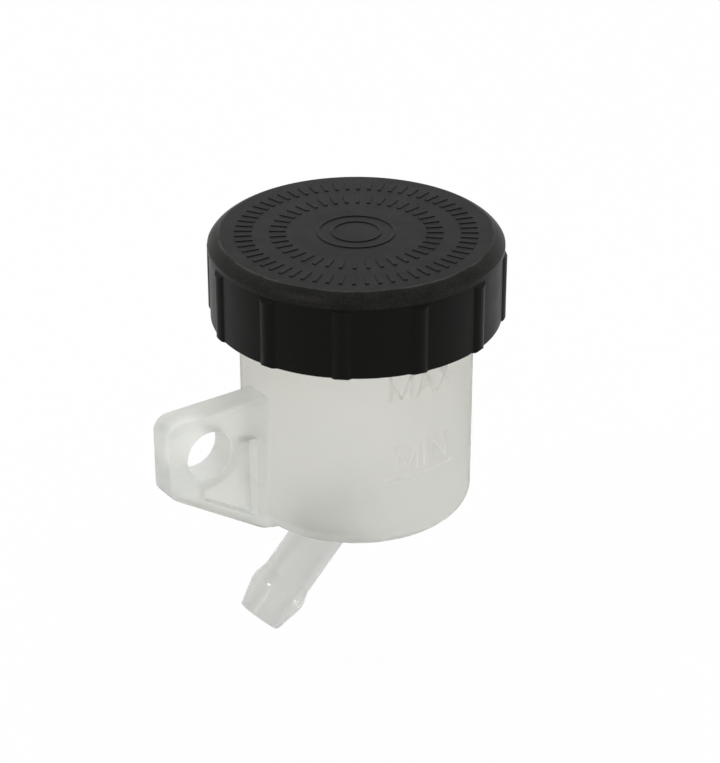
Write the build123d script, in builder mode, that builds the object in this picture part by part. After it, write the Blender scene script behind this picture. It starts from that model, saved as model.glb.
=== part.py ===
from build123d import *
import math
import os

# Remote brake fluid reservoir, in millimetres: a moulded translucent cup with a mounting ear and a
# barbed hose spout, a rubber diaphragm in its neck, a slip ring and a screw cap.
# The origin is the centre of the ear's bore. The bore runs along Y, +Z is up, and the cup stands
# on the +X side of the bore, its axis parallel to Z.

# Cup and neck, one round wall
cup_radius = 15.3
cup_wall = 1.5
cup_floor = 1.8
cup_height = 33.85
cup_bottom_round = 2.3
cup_inside_round = 1.2
rim_round = 0.35

# Mounting ear, a flat plate in the plane of the cup's axis
ear_reach = 8.8
ear_thickness = 4.0
ear_end = 5.9
ear_top = 5.75
ear_end_drop = 4.6
ear_heel_gap = 0.5
ear_heel_height = 0.25
ear_corner_round = 2.0
ear_heel_round = 4.0
ear_edge_round = 0.35
ear_root_round = 0.6
bore_radius = 3.3
bore_height = 14.15

# Pocket that cores the ear out round the bore's boss, on the -Y side
boss_radius = 4.75
pocket_depth = 2.0
pocket_rim = 1.25
pocket_wall = 1.6
pocket_top = 0.3
pocket_end = 0.9
pocket_round = 0.45

# Hose spout, down and out from the floor under the ear
spout_angle = 45.0
spout_offset = 1.65
spout_length = 20.3
spout_radius = 3.45
spout_bore_radius = 2.0
spout_root_round = 0.5
barb_radius = 4.05
barb_end_radius = 3.0
barb_taper = 4.4
barb_ramp = 2.0
barb_crest_round = 3.0
barb_end_round = 0.4

# Right-hand screw thread between neck and cap
thread_pitch = 3.0
thread_height = 1.3
thread_root = 1.5
thread_crest = 0.7
thread_sunk = 0.3
thread_gap = 0.3
neck_thread_turns = 1.5
neck_thread_lead = 0.35
cap_thread_turns = 1.75
cap_thread_lead = 0.5

# Diaphragm, a rubber bellows that hangs in the neck from a flange on the rim
flange_thickness = 1.6
flange_overhang = 0.2
bellows_wall = 0.6
bellows_gap = 0.8
bellows_fold = 2.0
bellows_crest = 0.5
bellows_slope = 0.75
bellows_folds = 2
bellows_foot = 1.0
flange_chamfer = 0.25

# Slip ring between flange and cap, wider than the thread below it, which keeps it in the cap
ring_thickness = 0.8
ring_width = 3.8
ring_clearance = 0.05
ring_side_gap = 0.5
ring_chamfer = 0.15

# Screw cap
cap_wall = 2.05
cap_top_thickness = 2.0
cap_height = 11.4
shoulder_width = 1.4
shoulder_drop = 1.25
shoulder_bulge = 0.12
shoulder_edge_round = 0.2
lip_width = 0.17
lip_height = 0.6
skirt_edge_round = 0.15
skirt_mouth_chamfer = 0.4
grip_count = 12
grip_angle = 19.5
grip_width = 2.3
grip_height = 0.45
grip_gap = 0.3
grip_foot_chamfer = 0.2

# Places that follow from the sizes above
axis_x = cup_radius + ear_reach
base_z = -bore_height
floor_z = base_z + cup_floor
rim_z = base_z + cup_height
flange_top_z = rim_z + flange_thickness
ring_z = flange_top_z + ring_clearance
ceiling_z = ring_z + ring_thickness + ring_clearance
cap_top_z = ceiling_z + cap_top_thickness
skirt_z = cap_top_z - cap_height
chamber_radius = cup_radius - cup_wall
cap_bore_radius = cup_radius + thread_height + thread_gap
skirt_radius = cap_bore_radius + cap_wall

# The two threads follow one helix, half a pitch apart.
neck_thread_z = rim_z - neck_thread_lead - thread_root / 2 - neck_thread_turns * thread_pitch
cap_thread_z = skirt_z + cap_thread_lead + thread_root / 2
cap_thread_angle = 360 * (cap_thread_z - neck_thread_z + thread_pitch / 2) / thread_pitch

cup_axis = Axis((axis_x, 0, 0), (0, 0, 1))
# Half section through the cup's axis: x is the radius, y is the height in the row's own Z.
cup_section = Plane(origin=(axis_x, 0, 0), x_dir=(1, 0, 0), z_dir=(0, -1, 0))

spout_tilt = math.radians(spout_angle)
spout_root = Vector(axis_x - spout_offset, 0, base_z)
spout_direction = Vector(-math.cos(spout_tilt), 0, -math.sin(spout_tilt))
spout_axis = Axis(spout_root, spout_direction)
spout_section = Plane(origin=spout_root, x_dir=spout_direction, z_dir=(0, 1, 0))
# How far the spout runs up into the chamber before the chamber cuts it off
spout_buried = (cup_floor + spout_radius) / math.sin(spout_tilt)


def thread_ridge(wall_radius, side, start_z, turns, start_angle):
    """A thread's ridge on a round wall about the cup's axis: side 1 stands out, side -1 stands in."""
    with BuildPart() as ridge:
        with BuildLine() as path:
            Helix(
                pitch=thread_pitch,
                height=turns * thread_pitch,
                radius=wall_radius,
                center=(axis_x, 0, start_z),
            )
        across = Plane(origin=path.line @ 0, x_dir=(1, 0, 0), z_dir=path.line % 0)
        with BuildSketch(across):
            with BuildLine():
                Polyline(
                    (-side * thread_sunk, -thread_root / 2),
                    (-side * thread_sunk, thread_root / 2),
                    (side * thread_height, thread_crest / 2),
                    (side * thread_height, -thread_crest / 2),
                    close=True,
                )
            make_face()
        sweep(path=path.line, is_frenet=True)
    return ridge.part.rotate(cup_axis, start_angle)


neck_thread = thread_ridge(cup_radius, 1, neck_thread_z, neck_thread_turns, 0)
cap_thread = thread_ridge(
    cap_bore_radius, -1, cap_thread_z, cap_thread_turns, cap_thread_angle
)

# Ear of the moulding, run in past the cup's bottom round; the chamber is cut out of it later
with BuildPart() as ear:
    root_x = ear_reach + cup_bottom_round
    heel = (ear_reach - ear_heel_gap, base_z + ear_heel_height)
    ear_corners = (
        (-ear_end, ear_top),
        (root_x, ear_top),
        (root_x, heel[1]),
        heel,
        (-ear_end, -ear_end_drop),
    )
    with BuildSketch(Plane.XZ):
        with BuildLine():
            Polyline(*ear_corners, close=True)
        outline = make_face()
        fillet(outline.vertices().group_by(Axis.X)[0], ear_corner_round)
        fillet(vertices().sort_by_distance(heel)[0], ear_heel_round)
    extrude(amount=ear_thickness / 2, both=True)
    side_edges = edges().filter_by(lambda edge: abs(edge.center().Y) > ear_thickness / 4)
    fillet(side_edges.filter_by(lambda edge: edge.center().X < root_x - 0.01), ear_edge_round)

    # Pocket between the boss, the cup and the ear's lower rim
    with BuildSketch(Plane.XZ.offset(ear_thickness / 2 - pocket_depth)):
        with BuildLine():
            Polyline(*ear_corners, close=True)
        make_face()
        offset(amount=-pocket_rim, kind=Kind.INTERSECTION)
        with Locations((-pocket_end, pocket_top)):
            Rectangle(
                pocket_end + ear_reach - pocket_wall,
                pocket_top - base_z,
                align=(Align.MIN, Align.MAX),
                mode=Mode.INTERSECT,
            )
        Circle(boss_radius, mode=Mode.SUBTRACT)
        fillet(vertices(), pocket_round)
    extrude(amount=pocket_depth, mode=Mode.SUBTRACT)

    # Bore for the mounting bolt
    with BuildSketch(Plane.XZ.offset(ear_thickness / 2)):
        Circle(bore_radius)
    extrude(amount=-ear_thickness, mode=Mode.SUBTRACT)

# Root of the ear, a fillet up each side of the plate where it meets the cup
with BuildPart() as ear_root:
    round_centre = cup_radius + ear_root_round
    round_side = ear_thickness / 2 + ear_root_round
    flare = round_side * cup_radius / round_centre
    flare_start = axis_x - math.sqrt(round_centre**2 - round_side**2)
    with BuildSketch(Plane.XY.offset(heel[1] + ear_edge_round)):
        Rectangle(axis_x, ear_thickness, align=(Align.MIN, Align.CENTER))
        with Locations((axis_x, 0)):
            Circle(cup_radius)
        fillet(
            vertices().filter_by_position(Axis.X, ear_reach / 2, root_x), ear_root_round
        )
        with Locations((flare_start, 0)):
            Rectangle(
                root_x - flare_start,
                2 * flare,
                align=(Align.MIN, Align.CENTER),
                mode=Mode.INTERSECT,
            )
    extrude(amount=ear_top - heel[1] - 2 * ear_edge_round)

# Reservoir body, one moulding with its ear and spout
with BuildPart() as reservoir_body:
    with BuildSketch(cup_section):
        with Locations((0, base_z)):
            Rectangle(cup_radius, cup_height, align=(Align.MIN, Align.MIN))
        outside = vertices().group_by(Axis.X)[-1].sort_by(Axis.Y)
        fillet(outside[0], cup_bottom_round)
    revolve(axis=cup_axis)
    add(ear.part)
    add(ear_root.part)

    # Spout and its barb
    with BuildSketch(spout_section):
        barb_start = spout_length - barb_taper
        with BuildLine():
            Polyline(
                (-spout_buried, 0),
                (-spout_buried, spout_radius),
                (barb_start - barb_ramp, spout_radius),
                (barb_start, barb_radius),
                (spout_length, barb_end_radius),
                (spout_length, 0),
                close=True,
            )
        make_face()
        fillet(vertices().sort_by_distance((barb_start, barb_radius))[0], barb_crest_round)
        fillet(vertices().sort_by_distance((spout_length, barb_end_radius))[0], barb_end_round)
    revolve(axis=spout_axis)
    spout_root_edges = edges(Select.NEW).filter_by_position(
        Axis.Z, base_z - 0.01, base_z + 0.01
    )
    fillet(spout_root_edges, spout_root_round)

    # Fluid chamber
    with BuildSketch(cup_section):
        with Locations((0, floor_z)):
            Rectangle(chamber_radius, rim_z - floor_z, align=(Align.MIN, Align.MIN))
        fillet(vertices().group_by(Axis.X)[-1].sort_by(Axis.Y)[0], cup_inside_round)
    revolve(axis=cup_axis, mode=Mode.SUBTRACT)
    fillet(edges().group_by(Axis.Z)[-1], rim_round)

    # Way through the spout into the chamber
    with BuildSketch(Plane(origin=spout_root + spout_direction * spout_length, z_dir=-spout_direction)):
        Circle(spout_bore_radius)
    extrude(amount=spout_length + spout_buried, mode=Mode.SUBTRACT)

    add(neck_thread)

# Diaphragm, one rubber moulding, its flat-crested folds stacked in the neck above the fluid
with BuildPart() as diaphragm:
    fold_out = chamber_radius - bellows_gap
    fold_in = fold_out - bellows_fold
    fold_line = [(fold_out, flange_top_z)]
    fold_z = rim_z
    for fold in range(bellows_folds):
        for radius, next_radius in ((fold_out, fold_in), (fold_in, fold_out)):
            fold_line.append((radius, fold_z))
            fold_z -= bellows_slope
            fold_line.append((next_radius, fold_z))
            fold_z -= bellows_crest
    pan_z = fold_z - bellows_foot
    with BuildSketch(cup_section):
        with BuildLine():
            Polyline(
                *fold_line,
                (fold_out, fold_z),
                (fold_out - bellows_foot, pan_z),
                (0, pan_z),
            )
            offset(amount=bellows_wall, side=Side.RIGHT)
        make_face()
        with Locations((fold_out - bellows_wall, rim_z)):
            Rectangle(
                cup_radius + flange_overhang - fold_out + bellows_wall,
                flange_thickness,
                align=(Align.MIN, Align.MIN),
            )
        chamfer(vertices().group_by(Axis.X)[-1], flange_chamfer)
    revolve(axis=cup_axis)

# Slip ring, a thin washer
with BuildPart() as slip_ring:
    ring_radius = cap_bore_radius - ring_side_gap
    with BuildSketch(Plane(origin=(axis_x, 0, ring_z))):
        Circle(ring_radius)
        Circle(ring_radius - ring_width, mode=Mode.SUBTRACT)
    extrude(amount=ring_thickness)
    chamfer(edges(), ring_chamfer)

# Grip ribs of the cap, shallow round beads that slope back to the skirt just under the lip and
# have a small chamfer at the foot, both at 45 degrees
with BuildPart() as grips:
    lip_radius = skirt_radius + lip_width
    lip_z = cap_top_z - shoulder_drop
    lip_foot_z = lip_z - lip_height
    grip_top_z = lip_foot_z - grip_gap
    grip_radius = ((grip_width / 2) ** 2 + grip_height**2) / (2 * grip_height)
    grip_foot_radius = skirt_radius + grip_height - grip_foot_chamfer
    grip_slope = (grip_top_z - skirt_z + grip_foot_radius - skirt_radius) / 2
    with BuildSketch(Plane(origin=(axis_x, 0, skirt_z))):
        grip_circle = skirt_radius + grip_height - grip_radius
        with PolarLocations(grip_circle, grip_count, start_angle=grip_angle):
            Circle(grip_radius)
    extrude(amount=grip_top_z - skirt_z)
    with BuildSketch(cup_section):
        with BuildLine():
            Polyline(
                (0, grip_top_z),
                (0, skirt_z),
                (grip_foot_radius, skirt_z),
                (skirt_radius + grip_slope, grip_top_z - grip_slope),
                (skirt_radius, grip_top_z),
                close=True,
            )
        make_face()
    revolve(axis=cup_axis, mode=Mode.INTERSECT)

# Screw cap, one moulding
with BuildPart() as screw_cap:
    flat_radius = lip_radius - shoulder_width
    with BuildSketch(cup_section):
        with BuildLine():
            Polyline(
                (0, cap_top_z),
                (0, skirt_z),
                (skirt_radius, skirt_z),
                (skirt_radius, lip_foot_z),
                (lip_radius, lip_foot_z),
                (lip_radius, lip_z),
            )
            bulge = (
                (flat_radius + lip_radius) / 2 + shoulder_bulge,
                (cap_top_z + lip_z) / 2 + shoulder_bulge,
            )
            ThreePointArc((lip_radius, lip_z), bulge, (flat_radius, cap_top_z))
            Line((flat_radius, cap_top_z), (0, cap_top_z))
        make_face()
        fillet(vertices().sort_by_distance((skirt_radius, skirt_z))[0], skirt_edge_round)
        for corner in ((flat_radius, cap_top_z), (lip_radius, lip_z)):
            fillet(vertices().sort_by_distance(corner)[0], shoulder_edge_round)
    revolve(axis=cup_axis)
    add(grips.part)

    # Inside of the skirt, with a lead-in at its mouth
    with BuildSketch(Plane(origin=(axis_x, 0, skirt_z))):
        Circle(cap_bore_radius)
    extrude(amount=ceiling_z - skirt_z, mode=Mode.SUBTRACT)
    mouth = edges().filter_by_position(Axis.Z, skirt_z - 0.01, skirt_z + 0.01)
    chamfer(
        mouth.filter_by(
            lambda edge: edge.geom_type == GeomType.CIRCLE
            and abs(edge.radius - cap_bore_radius) < 0.01
        ),
        skirt_mouth_chamfer,
    )
    add(cap_thread)

os.makedirs("parts", exist_ok=True)
for name, piece in (
    ("reservoir_body", reservoir_body),
    ("diaphragm", diaphragm),
    ("slip_ring", slip_ring),
    ("screw_cap", screw_cap),
):
    piece.part.label = name
    export_step(piece.part, f"parts/{name}.step")
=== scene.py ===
import math

import bmesh
import bpy
from mathutils import Matrix, Vector


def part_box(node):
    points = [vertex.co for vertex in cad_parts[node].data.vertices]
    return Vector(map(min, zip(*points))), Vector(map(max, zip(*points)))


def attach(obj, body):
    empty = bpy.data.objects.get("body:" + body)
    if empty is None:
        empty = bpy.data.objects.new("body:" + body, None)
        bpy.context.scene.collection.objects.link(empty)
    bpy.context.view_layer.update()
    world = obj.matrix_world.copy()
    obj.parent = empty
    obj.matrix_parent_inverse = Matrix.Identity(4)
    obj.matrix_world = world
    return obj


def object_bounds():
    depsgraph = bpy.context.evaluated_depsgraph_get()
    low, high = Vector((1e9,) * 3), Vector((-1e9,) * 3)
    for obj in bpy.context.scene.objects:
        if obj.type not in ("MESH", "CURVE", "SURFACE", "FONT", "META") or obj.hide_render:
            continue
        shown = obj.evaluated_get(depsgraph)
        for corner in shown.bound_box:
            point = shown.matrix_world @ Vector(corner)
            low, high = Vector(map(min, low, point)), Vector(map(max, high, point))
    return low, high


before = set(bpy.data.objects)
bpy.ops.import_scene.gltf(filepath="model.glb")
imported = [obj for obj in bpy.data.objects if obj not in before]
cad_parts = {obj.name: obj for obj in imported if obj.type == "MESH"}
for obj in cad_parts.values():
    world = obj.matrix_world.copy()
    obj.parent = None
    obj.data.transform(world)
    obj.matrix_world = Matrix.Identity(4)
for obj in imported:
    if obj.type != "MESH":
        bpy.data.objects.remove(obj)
cad_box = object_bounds()

# Reservoir: cup, neck, ear and hose spout are one injection moulding of natural, milky
# polypropylene. It is never painted, so light goes some way into it: the cup's walls look like
# frosted glass, the ear is satin with faint smoky streaks, and the spout is nearly glossy.
cup_axis = Vector((0.0241, 0.0, 0.0))
cup_outside = 0.0153
chamber_radius = 0.0138
cup_base = -0.01415
spout_root = Vector((0.02245, 0.0, cup_base))
spout_way = Vector((-1.0, 0.0, -1.0)).normalized()
spout_bore_radius = 0.0020
bolt_bore_radius = 0.0033
across_cup = (1.0, 1.0, 0.0)
across_bolt = (1.0, 0.0, 1.0)

# Where each zone begins and where it is complete: distances from an axis, or heights.
spout_bore_zone = (spout_bore_radius + 0.0006, spout_bore_radius + 0.0003)
bolt_bore_zone = (bolt_bore_radius + 0.00008, bolt_bore_radius + 0.00002)
chamber_zone = (chamber_radius + 0.0008, chamber_radius + 0.0004)
chamber_foot = (cup_base + 0.0006, cup_base + 0.0010)
floor_zone = (cup_base + 0.0024, cup_base + 0.0020)
ear_zone = (cup_outside + 0.0002, cup_outside + 0.0012)
spout_zone = (cup_base - 0.0002, cup_base - 0.0012)

cup_white = (0.751, 0.744, 0.701, 1.0)
# The darker cup colour serves both the random mottling and a painted shade that darkens the cup
# towards the bottom.
cup_mottle_and_painted_shade = (0.69, 0.698, 0.67, 1.0)
# A paler tint on the thick floor: painted light, standing in for light scattered in it.
floor_band_painted_light = (0.81, 0.81, 0.778, 1.0)
ear_white = (0.77, 0.78, 0.736, 1.0)
ear_smoke = (0.692, 0.707, 0.692, 1.0)
spout_white = (0.635, 0.64, 0.61, 1.0)
inner_clear = (0.98, 0.98, 0.97, 1.0)
mottled_share = 0.4
# Heights and share of the painted shade that darkens the cup towards the bottom.
painted_shade_heights = (0.006, -0.010)
painted_shade_share = 0.4
streaks_per_metre = (130.0, 250.0, 420.0)
smoke_limits = (0.5, 0.66)
noise_limits = (0.3, 0.7)
cup_roughness = (0.68, 0.78)
ear_roughness = (0.60, 0.66)
spout_roughness = (0.28, 0.31)
cup_bump = 0.12
spout_bump = 0.01


def add_node(tree, kind, sockets=(), **settings):
    """Adds a shader node, sets its options, then fills its sockets with values or links."""
    node = tree.nodes.new("ShaderNode" + kind)
    for name, value in settings.items():
        setattr(node, name, value)
    for name, value in dict(sockets).items():
        if isinstance(value, bpy.types.NodeSocket):
            tree.links.new(value, node.inputs[name])
        else:
            node.inputs[name].default_value = value
    return node


def maths(tree, operation, first, second=0.0):
    """One sum, product, maximum or the like."""
    return add_node(tree, "Math", {0: first, 1: second}, operation=operation).outputs[0]


def vector_maths(tree, operation, first, second=(0.0, 0.0, 0.0)):
    """One sum, product or length of vectors."""
    node = add_node(tree, "VectorMath", {0: first, 1: second}, operation=operation)
    return node.outputs["Value" if operation == "LENGTH" else "Vector"]


def ramp(tree, value, start, end, low=0.0, high=1.0):
    """A value that runs from low to high while its input runs from start to end."""
    limits = {"Value": value, "From Min": start, "From Max": end, "To Min": low, "To Max": high}
    return add_node(tree, "MapRange", limits).outputs["Result"]


def blend(tree, factor, first, second, kind="RGBA"):
    """A mix of two colours, or of two values where the kind is FLOAT."""
    parts = {"Factor": factor, "A": first, "B": second}
    return add_node(tree, "Mix", parts, data_type=kind).outputs["Result"]


def moulded_surface_group():
    """Node group: the unevenness of a moulded face, from the size in metres of its features."""
    group = bpy.data.node_groups.new("moulded_surface", "ShaderNodeTree")
    for name, direction in (
        ("Grain Size", "INPUT"),
        ("Flow Size", "INPUT"),
        ("Grain", "OUTPUT"),
        ("Flow", "OUTPUT"),
    ):
        group.interface.new_socket(name, in_out=direction, socket_type="NodeSocketFloat")
    inside = group.nodes.new("NodeGroupInput")
    outside = group.nodes.new("NodeGroupOutput")
    place = add_node(group, "TexCoord").outputs["Object"]
    for size, result, detail in (("Grain Size", "Grain", 2.0), ("Flow Size", "Flow", 3.0)):
        scale = maths(group, "DIVIDE", 1.0, inside.outputs[size])
        pattern = {"Vector": place, "Scale": scale, "Detail": detail, "Roughness": 0.55}
        noise = add_node(group, "TexNoise", pattern)
        group.links.new(noise.outputs["Fac"], outside.inputs[result])
    return group


def place_on_cup_group():
    """Node group: distance from the cup's axis and height, in metres in the part's frame."""
    group = bpy.data.node_groups.new("place_on_cup", "ShaderNodeTree")
    for name in ("Radius", "Height"):
        group.interface.new_socket(name, in_out="OUTPUT", socket_type="NodeSocketFloat")
    outside = group.nodes.new("NodeGroupOutput")
    place = add_node(group, "TexCoord").outputs["Object"]
    from_axis = vector_maths(group, "SUBTRACT", place, cup_axis)
    flat = vector_maths(group, "MULTIPLY", from_axis, across_cup)
    split = add_node(group, "SeparateXYZ", {"Vector": place})
    group.links.new(vector_maths(group, "LENGTH", flat), outside.inputs["Radius"])
    group.links.new(split.outputs["Z"], outside.inputs["Height"])
    return group


moulded_surface = moulded_surface_group()
place_on_cup = place_on_cup_group()


def new_material(name, **sockets):
    """A material whose own Principled shader has these plain values, and its node tree."""
    material = bpy.data.materials.new(name)
    material.use_nodes = True
    shader = material.node_tree.nodes["Principled BSDF"]
    for socket, value in sockets.items():
        shader.inputs[socket.replace("_", " ")].default_value = value
    return material, material.node_tree, shader


def use_surface(tree, grain_size, flow_size):
    """Places the moulded surface group in a material."""
    sizes = {"Grain Size": grain_size, "Flow Size": flow_size}
    node = add_node(tree, "Group", sizes, node_tree=moulded_surface)
    return node.outputs["Grain"], node.outputs["Flow"]


def use_place(tree):
    """Places the cup's coordinates group in a material: radius and height."""
    node = add_node(tree, "Group", node_tree=place_on_cup)
    return node.outputs["Radius"], node.outputs["Height"]


def add_skin(tree, shader, grain, strength, distance):
    """A bump from the moulded grain, as deep as the distance."""
    skin = add_node(tree, "Bump", {"Height": grain, "Strength": strength, "Distance": distance})
    tree.links.new(skin.outputs["Normal"], shader.inputs["Normal"])


def dress(piece, material):
    """Gives a piece this one material."""
    piece.data.materials.clear()
    piece.data.materials.append(material)


milky_plastic, tree, shader = new_material(
    "milky_polypropylene",
    IOR=1.3,
    Transmission_Weight=0.95,
    Coat_Roughness=0.12,
)
grain, flow = use_surface(tree, grain_size=0.0006, flow_size=0.009)
radius, height = use_place(tree)
place = add_node(tree, "TexCoord").outputs["Object"]
from_root = vector_maths(tree, "SUBTRACT", place, spout_root)
off_spout = vector_maths(tree, "LENGTH", vector_maths(tree, "CROSS_PRODUCT", from_root, spout_way))
off_bolt = vector_maths(tree, "LENGTH", vector_maths(tree, "MULTIPLY", place, across_bolt))
under_floor = ramp(tree, height, *floor_zone)
in_spout_bore = maths(tree, "MULTIPLY", ramp(tree, off_spout, *spout_bore_zone), under_floor)
in_bolt_bore = ramp(tree, off_bolt, *bolt_bore_zone)
above_foot = ramp(tree, height, *chamber_foot)
in_chamber = maths(tree, "MULTIPLY", ramp(tree, radius, *chamber_zone), above_foot)
inside = maths(tree, "MAXIMUM", in_spout_bore, in_chamber)
inside = maths(tree, "MAXIMUM", inside, in_bolt_bore)
beside_cup = ramp(tree, radius, *ear_zone)
below_cup = ramp(tree, height, *spout_zone)
mottled = ramp(tree, flow, *noise_limits, 0.0, mottled_share)
# Painted shade: the cup grows darker towards the bottom.
painted_shade_below = ramp(tree, height, *painted_shade_heights, 0.0, painted_shade_share)
cup_tint = blend(tree, maths(tree, "ADD", mottled, painted_shade_below), cup_white, cup_mottle_and_painted_shade)
# Painted light: the band round the floor is paler, for light scattered in the thick floor.
cup_tint = blend(tree, under_floor, cup_tint, floor_band_painted_light)
stretched = vector_maths(tree, "MULTIPLY", place, streaks_per_metre)
streaks = add_node(tree, "TexNoise", {"Vector": stretched, "Scale": 1.0, "Detail": 3.0})
smoke = ramp(tree, streaks.outputs["Fac"], *smoke_limits)
ear_tint = blend(tree, smoke, ear_white, ear_smoke)
tint = blend(tree, below_cup, blend(tree, beside_cup, cup_tint, ear_tint), spout_white)
tree.links.new(blend(tree, inside, tint, inner_clear), shader.inputs["Base Color"])
cup_satin = ramp(tree, grain, *noise_limits, *cup_roughness)
ear_satin = ramp(tree, grain, *noise_limits, *ear_roughness)
spout_gloss = ramp(tree, grain, *noise_limits, *spout_roughness)
satin = blend(tree, beside_cup, cup_satin, ear_satin, "FLOAT")
satin = blend(tree, below_cup, satin, spout_gloss, "FLOAT")
tree.links.new(satin, shader.inputs["Roughness"])
tree.links.new(below_cup, shader.inputs["Coat Weight"])
texture = ramp(tree, below_cup, 0.0, 1.0, cup_bump, spout_bump)
add_skin(tree, shader, grain, strength=texture, distance=0.00005)
dress(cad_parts["reservoir_body"], milky_plastic)

# Level marks: MAX and MIN with their lines, raised strokes moulded with the cup on the side of
# the ear's pocket. They are plain single strokes, about 0.4 mm wide and 0.05 mm high.
stroke_width = 0.00042
stroke_height = 0.00005
stroke_sunk = 0.00003
stroke_rounding = stroke_height * 0.8
letter_height = 0.0034
mark_middle = -0.0002
line_half_length = 0.0052
line_width = 0.0005
longest_flat_edge = 0.0012
cuts_to_bend = 7
mark_white = (0.99, 0.99, 0.975, 1.0)
# The strokes nearer the black cap are painted darker: painted shade from the dark cap above.
mark_painted_shade = (0.925, 0.925, 0.90, 1.0)
painted_shade_mark_heights = (0.002, 0.006)
mark_roughness = (0.55, 0.65)

# Each letter's width, and its strokes from end to end in shares of the width and the height.
letters = {
    "M": (0.00285, ((0, 0, 0, 1), (0, 1, 0.5, 0.05), (0.5, 0.05, 1, 1), (1, 1, 1, 0))),
    "A": (0.00245, ((0, 0, 0.5, 1), (0.5, 1, 1, 0), (0.2, 0.36, 0.8, 0.36))),
    "X": (0.0023, ((0, 0, 1, 1), (0, 1, 1, 0))),
    "I": (0.0, ((0, 0, 0, 1),)),
    "N": (0.0026, ((0, 0, 0, 1), (0, 1, 1, 0), (1, 0, 1, 1))),
}

# Each word, the height of its foot, the gap between its letters and the height of its line.
level_rows = (
    ("MIN", -0.0028, 0.0011, -0.0040),
    ("MAX", 0.0074, 0.0009, 0.0119),
)


def add_block(mesh, length, width, height, sunk):
    """Adds a block along x that is sunk below z = 0, and gives back its vertices."""
    made = bmesh.ops.create_cube(mesh, size=1.0)["verts"]
    thick = height + sunk
    bmesh.ops.scale(mesh, vec=(length, width, thick), verts=made)
    bmesh.ops.translate(mesh, vec=(0, 0, thick / 2 - sunk), verts=made)
    return made


def soften_top(mesh, verts, offset):
    """Rounds the edges above z = 0 of the block that has these vertices."""
    edges = {e for v in verts for e in v.link_edges}
    bmesh.ops.bevel(
        mesh,
        geom=[e for e in mesh.edges if e in edges and min(v.co.z for v in e.verts) > 0],
        offset=offset,
        offset_type="OFFSET",
        affect="EDGES",
        segments=2,
        profile=0.5,
        material=-1,
    )


def add_stroke(mesh, start, end, width=stroke_width):
    """One raised stroke on the unrolled cup wall, x along the wall and y up it."""
    along = Vector((end[0] - start[0], end[1] - start[1]))
    made = add_block(mesh, along.length + width, width, stroke_height, stroke_sunk)
    turn = Matrix.Rotation(math.atan2(along.y, along.x), 3, "Z")
    bmesh.ops.rotate(mesh, cent=(0, 0, 0), matrix=turn, verts=made)
    middle = ((start[0] + end[0]) / 2, (start[1] + end[1]) / 2, 0)
    bmesh.ops.translate(mesh, vec=middle, verts=made)
    soften_top(mesh, made, stroke_rounding)


def add_word(mesh, word, foot, gap):
    """A word centred on the middle of the marks, with its foot's height and its letters' gap."""
    widths = [letters[letter][0] for letter in word]
    left = mark_middle - (sum(widths) + gap * (len(word) - 1)) / 2
    for letter, width in zip(word, widths):
        for x0, y0, x1, y1 in letters[letter][1]:
            add_stroke(
                mesh,
                (left + x0 * width, foot + y0 * letter_height),
                (left + x1 * width, foot + y1 * letter_height),
            )
        left += width + gap


def wrap_on_cup(mesh):
    """Rolls the flat marks onto the cup's wall, facing the side with the ear's pocket."""
    for vertex in mesh.verts:
        angle = vertex.co.x / cup_outside
        reach = cup_outside + vertex.co.z
        across = Vector((reach * math.sin(angle), -reach * math.cos(angle), vertex.co.y))
        vertex.co = cup_axis + across


def new_piece(name, mesh):
    """An object of this name with the finished mesh, at the origin."""
    piece = bpy.data.objects.new(name, bpy.data.meshes.new(name))
    mesh.to_mesh(piece.data)
    mesh.free()
    bpy.context.scene.collection.objects.link(piece)
    return piece


mesh = bmesh.new()
for word, foot, gap, line in level_rows:
    add_word(mesh, word, foot, gap)
    ends = (mark_middle - line_half_length, line), (mark_middle + line_half_length, line)
    add_stroke(mesh, *ends, width=line_width)
long_edges = [e for e in mesh.edges if e.calc_length() > longest_flat_edge]
bmesh.ops.subdivide_edges(mesh, edges=long_edges, cuts=cuts_to_bend)
wrap_on_cup(mesh)
level_marks = new_piece("level_marks", mesh)
clear_marks, tree, shader = new_material("clear_level_marks", IOR=1.14, Transmission_Weight=0.95)
grain, _ = use_surface(tree, grain_size=0.0006, flow_size=0.009)
_, height = use_place(tree)
# Painted shade: the marks grow darker towards the cap.
painted_shade_near_cap = ramp(tree, height, *painted_shade_mark_heights)
tree.links.new(blend(tree, painted_shade_near_cap, mark_white, mark_painted_shade), shader.inputs["Base Color"])
satin = ramp(tree, grain, *noise_limits, *mark_roughness)
tree.links.new(satin, shader.inputs["Roughness"])
dress(level_marks, clear_marks)
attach(level_marks, "reservoir")

# Diaphragm: a black rubber bellows, pressed in a mould, that seals the neck with its flange and
# follows the fluid down. Its face is dull, with a faint bloom.
rubber_black = (0.012, 0.012, 0.013, 1.0)
rubber_bloom = (0.035, 0.035, 0.036, 1.0)
rubber_roughness = (0.55, 0.75)
rubber, tree, shader = new_material("moulded_rubber", IOR=1.5, Specular_IOR_Level=0.35)
grain, flow = use_surface(tree, grain_size=0.0003, flow_size=0.004)
tree.links.new(blend(tree, flow, rubber_black, rubber_bloom), shader.inputs["Base Color"])
tree.links.new(ramp(tree, flow, *noise_limits, *rubber_roughness), shader.inputs["Roughness"])
add_skin(tree, shader, grain, strength=0.3, distance=0.00005)
dress(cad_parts["diaphragm"], rubber)

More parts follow.
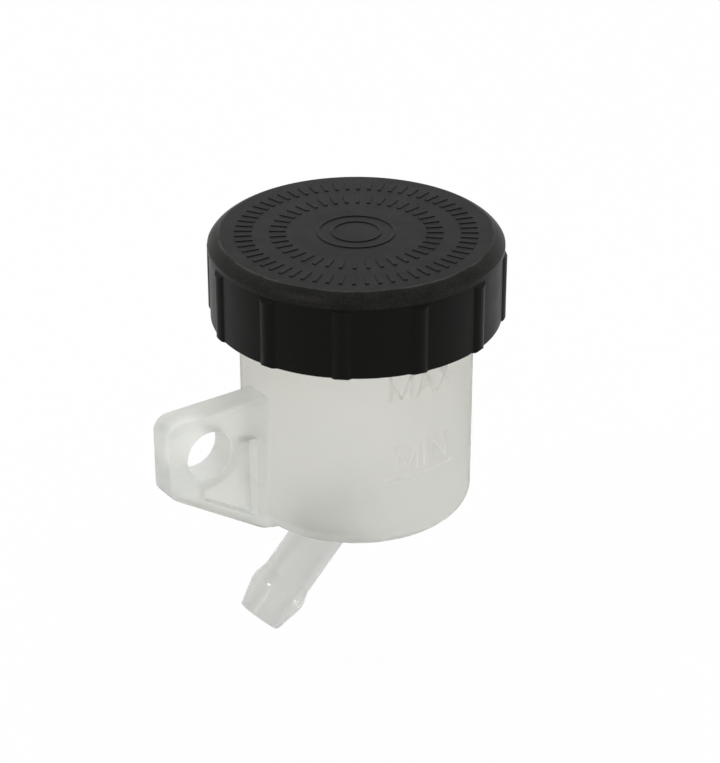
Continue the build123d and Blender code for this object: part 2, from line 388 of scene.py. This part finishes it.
# Slip ring: a thin washer of white acetal between the cap and the rubber, smooth and slippery,
# so that the turning cap doesn't wring the rubber. It lies loose on the diaphragm's flange.
acetal_white = (0.74, 0.735, 0.70, 1.0)
acetal_shade = (0.66, 0.655, 0.62, 1.0)
acetal_roughness = (0.3, 0.4)
acetal, tree, shader = new_material("white_acetal", IOR=1.48)
grain, flow = use_surface(tree, grain_size=0.0004, flow_size=0.006)
tree.links.new(blend(tree, flow, acetal_white, acetal_shade), shader.inputs["Base Color"])
tree.links.new(ramp(tree, grain, *noise_limits, *acetal_roughness), shader.inputs["Roughness"])
add_skin(tree, shader, grain, strength=0.1, distance=0.00003)
dress(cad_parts["slip_ring"], acetal)

# Screw cap: one injection moulding of black, filled plastic. The mould is spark-eroded, so the
# faces have a fine satin grain. The shoulder is speckled and a little greyer, partly worn by hands
# and partly a painted sheen; the flat top's edge carries a thin painted highlight, broken in
# patches.
cap_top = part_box("screw_cap")[1].z
cap_black = (0.0014, 0.0014, 0.0012, 1.0)
# The colour of the thin painted highlight along the flat top's edge.
cap_edge_highlight = (0.03, 0.03, 0.027, 1.0)
# The shoulder's speckled grey: partly wear, partly a painted sheen.
cap_wear_and_sheen = (0.0165, 0.016, 0.014, 1.0)
cap_roughness = (0.38, 0.46)
flat_radius = 0.01772
# Where the painted highlight on the flat top's edge lies, and how it breaks into patches.
edge_highlight_radius = flat_radius - 0.00005
edge_highlight_band = (0.00008, 0.00024)
edge_highlight_heights = (cap_top - 0.0006, cap_top - 0.0005)
edge_highlight_patches = (0.42, 0.6)
shoulder_radii = (flat_radius, flat_radius + 0.0002)
shoulder_heights = (cap_top - 0.00185, cap_top - 0.00175)
speckle_limits = (0.4, 0.7)
speckle_range = (0.3, 1.0)
wear_and_sheen_patches = (0.35, 0.6)
wear_and_sheen_range = (0.4, 1.0)
cap_plastic, tree, shader = new_material(
    "black_filled_plastic",
    IOR=1.5,
    Specular_IOR_Level=0.1,
    Specular_Tint=(1.0, 0.98, 0.94, 1.0),
)
grain, flow = use_surface(tree, grain_size=0.00022, flow_size=0.004)
radius, height = use_place(tree)
# Painted highlight: a thin lighter line round the flat top's edge, broken in patches.
off_edge = maths(tree, "ABSOLUTE", maths(tree, "SUBTRACT", radius, edge_highlight_radius))
on_edge = ramp(tree, off_edge, *edge_highlight_band, 1.0, 0.0)
high_up = ramp(tree, height, *edge_highlight_heights)
painted_edge_highlight = maths(tree, "MULTIPLY", on_edge, high_up)
painted_edge_highlight = maths(tree, "MULTIPLY", painted_edge_highlight, ramp(tree, flow, *edge_highlight_patches))
# The shoulder's lighter speckled band: partly wear by hands, partly painted sheen.
past_flat = ramp(tree, radius, *shoulder_radii)
above_skirt = ramp(tree, height, *shoulder_heights)
wear_and_sheen = maths(tree, "MULTIPLY", past_flat, above_skirt)
wear_and_sheen = maths(tree, "MULTIPLY", wear_and_sheen, ramp(tree, grain, *speckle_limits, *speckle_range))
wear_and_sheen = maths(tree, "MULTIPLY", wear_and_sheen, ramp(tree, flow, *wear_and_sheen_patches, *wear_and_sheen_range))
shade = blend(tree, painted_edge_highlight, blend(tree, wear_and_sheen, cap_black, cap_wear_and_sheen), cap_edge_highlight)
tree.links.new(shade, shader.inputs["Base Color"])
tree.links.new(ramp(tree, flow, *noise_limits, *cap_roughness), shader.inputs["Roughness"])
add_skin(tree, shader, grain, strength=0.35, distance=0.00006)
dress(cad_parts["screw_cap"], cap_plastic)

# Relief on the cap's top: two bands of short raised ribs and two plain rings round the middle,
# all moulded with the cap and a tenth of a millimetre high.
relief_height = 0.0001
relief_sunk = 0.0001
relief_rounding = relief_height * 0.9
ring_side_height = relief_height * 0.5
ring_steps = 128
weld_distance = 1e-6

# Each band's inner and outer radius, and its ribs' width and number. Each ring's radius and width.
rib_bands = (
    (0.0134, 0.0157, 0.00055, 60),
    (0.0090, 0.0112, 0.00055, 40),
)
ring_bands = ((0.0049, 0.00045), (0.0031, 0.0004))


def spin_round(mesh, geometry, angle, steps, **ways):
    """Carries geometry round the z axis."""
    centre, axis = (0, 0, 0), (0, 0, 1)
    bmesh.ops.spin(mesh, geom=geometry, cent=centre, axis=axis, angle=angle, steps=steps, **ways)


mesh = bmesh.new()
for inner, outer, width, count in rib_bands:
    others = set(mesh.faces)
    made = add_block(mesh, outer - inner, width, relief_height, relief_sunk)
    bmesh.ops.translate(mesh, vec=((inner + outer) / 2, 0, 0), verts=made)
    soften_top(mesh, made, relief_rounding)
    rib_faces = [f for f in mesh.faces if f not in others]
    rib_edges = list(dict.fromkeys(e for f in rib_faces for e in f.edges))
    rib_verts = list(dict.fromkeys(v for f in rib_faces for v in f.verts))
    turn = 2 * math.pi * (count - 1) / count
    spin_round(mesh, rib_verts + rib_edges + rib_faces, turn, count - 1, use_duplicate=True)
for ring_radius, width in ring_bands:
    corners = (
        (ring_radius - width / 2, -relief_sunk),
        (ring_radius - width / 2, ring_side_height),
        (ring_radius - width / 4, relief_height),
        (ring_radius + width / 4, relief_height),
        (ring_radius + width / 2, ring_side_height),
        (ring_radius + width / 2, -relief_sunk),
    )
    verts = [mesh.verts.new((x, 0, z)) for x, z in corners]
    edges = [mesh.edges.new((a, b)) for a, b in zip(verts, verts[1:] + verts[:1])]
    spin_round(mesh, verts + edges, 2 * math.pi, ring_steps, use_merge=True)
bmesh.ops.remove_doubles(mesh, verts=mesh.verts, dist=weld_distance)
bmesh.ops.recalc_face_normals(mesh, faces=mesh.faces)
bmesh.ops.translate(mesh, vec=cup_axis + Vector((0, 0, cap_top)), verts=mesh.verts)
cap_relief = new_piece("cap_relief", mesh)
dress(cap_relief, cap_plastic)
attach(cap_relief, "cap")

# Studio: a plain pale floor under a part that hangs from its bore, a white surround for the
# camera, one small and two larger soft lamps.
floor_drop = 0.012
floor_half_size = 4.0
floor_z = cad_box[0].z - floor_drop
floor_pale_grey = (0.9, 0.9, 0.9, 1.0)
floor_glow_share = 0.95
pure_white = (1.0, 1.0, 1.0, 1.0)
fill_strength = 0.86

# Each lamp's name, its place from the part's middle, its width and its power in watts.
lamps = (
    ("lamp_behind", (0.12, 0.36, 0.46), 0.25, 0.24),
    ("lamp_left", (-0.41, -0.03, 0.44), 0.08, 0.5),
    ("lamp_right", (0.45, -0.40, 0.10), 0.4, 0.5),
)


def sees_background(tree):
    """1 where a camera, glossy or transmission ray arrives, which sees the white surround."""
    path = add_node(tree, "LightPath").outputs
    first = maths(tree, "MAXIMUM", path["Is Camera Ray"], path["Is Glossy Ray"])
    return maths(tree, "MAXIMUM", first, path["Is Transmission Ray"])


def show_mix(tree, factor, first, second, output):
    """Sends a mix of two shaders to the tree's output node of this kind."""
    mixed = add_node(tree, "MixShader", {"Fac": factor})
    tree.links.new(first.outputs[0], mixed.inputs[1])
    tree.links.new(second.outputs[0], mixed.inputs[2])
    add_node(tree, output, {"Surface": mixed.outputs[0]})


mesh = bmesh.new()
bmesh.ops.create_grid(mesh, x_segments=1, y_segments=1, size=floor_half_size)
bmesh.ops.translate(mesh, vec=(0, 0, floor_z), verts=mesh.verts)
floor = new_piece("floor", mesh)

floor_paint = bpy.data.materials.new("floor_paint")
floor_paint.use_nodes = True
tree = floor_paint.node_tree
tree.nodes.clear()
matt = add_node(tree, "BsdfDiffuse", {"Color": floor_pale_grey})
glow = add_node(tree, "Emission", {"Color": pure_white, "Strength": 1.0})
share = maths(tree, "MULTIPLY", sees_background(tree), floor_glow_share)
show_mix(tree, share, matt, glow, "OutputMaterial")
dress(floor, floor_paint)

world = bpy.data.worlds.new("studio")
bpy.context.scene.world = world
world.use_nodes = True
tree = world.node_tree
tree.nodes.clear()
fill = add_node(tree, "Background", {"Color": pure_white, "Strength": fill_strength})
white = add_node(tree, "Background", {"Color": pure_white, "Strength": 1.0})
show_mix(tree, sees_background(tree), fill, white, "OutputWorld")

middle = (cad_box[0] + cad_box[1]) / 2
for name, from_middle, size, power in lamps:
    light = bpy.data.lights.new(name, "AREA")
    light.shape = "DISK"
    light.size = size
    light.energy = power
    lamp = bpy.data.objects.new(name, light)
    lamp.location = middle + Vector(from_middle)
    lamp.rotation_euler = (-Vector(from_middle)).to_track_quat("-Z", "Y").to_euler()
    bpy.context.scene.collection.objects.link(lamp)

# Camera, as in the photograph: a long lens, well above the part and a third of the way round.
camera_place = Vector((-0.141925, -0.237938, 0.156202))
camera_look = Vector((0.50683, 0.72382, -0.46820))
sensor_width_mm = 36.0
lens_mm = 117.3
camera = bpy.data.objects.new("camera", bpy.data.cameras.new("camera"))
camera.location = camera_place
camera.rotation_euler = camera_look.to_track_quat("-Z", "Y").to_euler()
camera.data.sensor_width = sensor_width_mm
camera.data.lens = lens_mm
camera.data.clip_start = 0.01
camera.data.clip_end = 20.0
bpy.context.scene.collection.objects.link(camera)
bpy.context.scene.camera = camera
bpy.context.scene.view_settings.view_transform = "Standard"
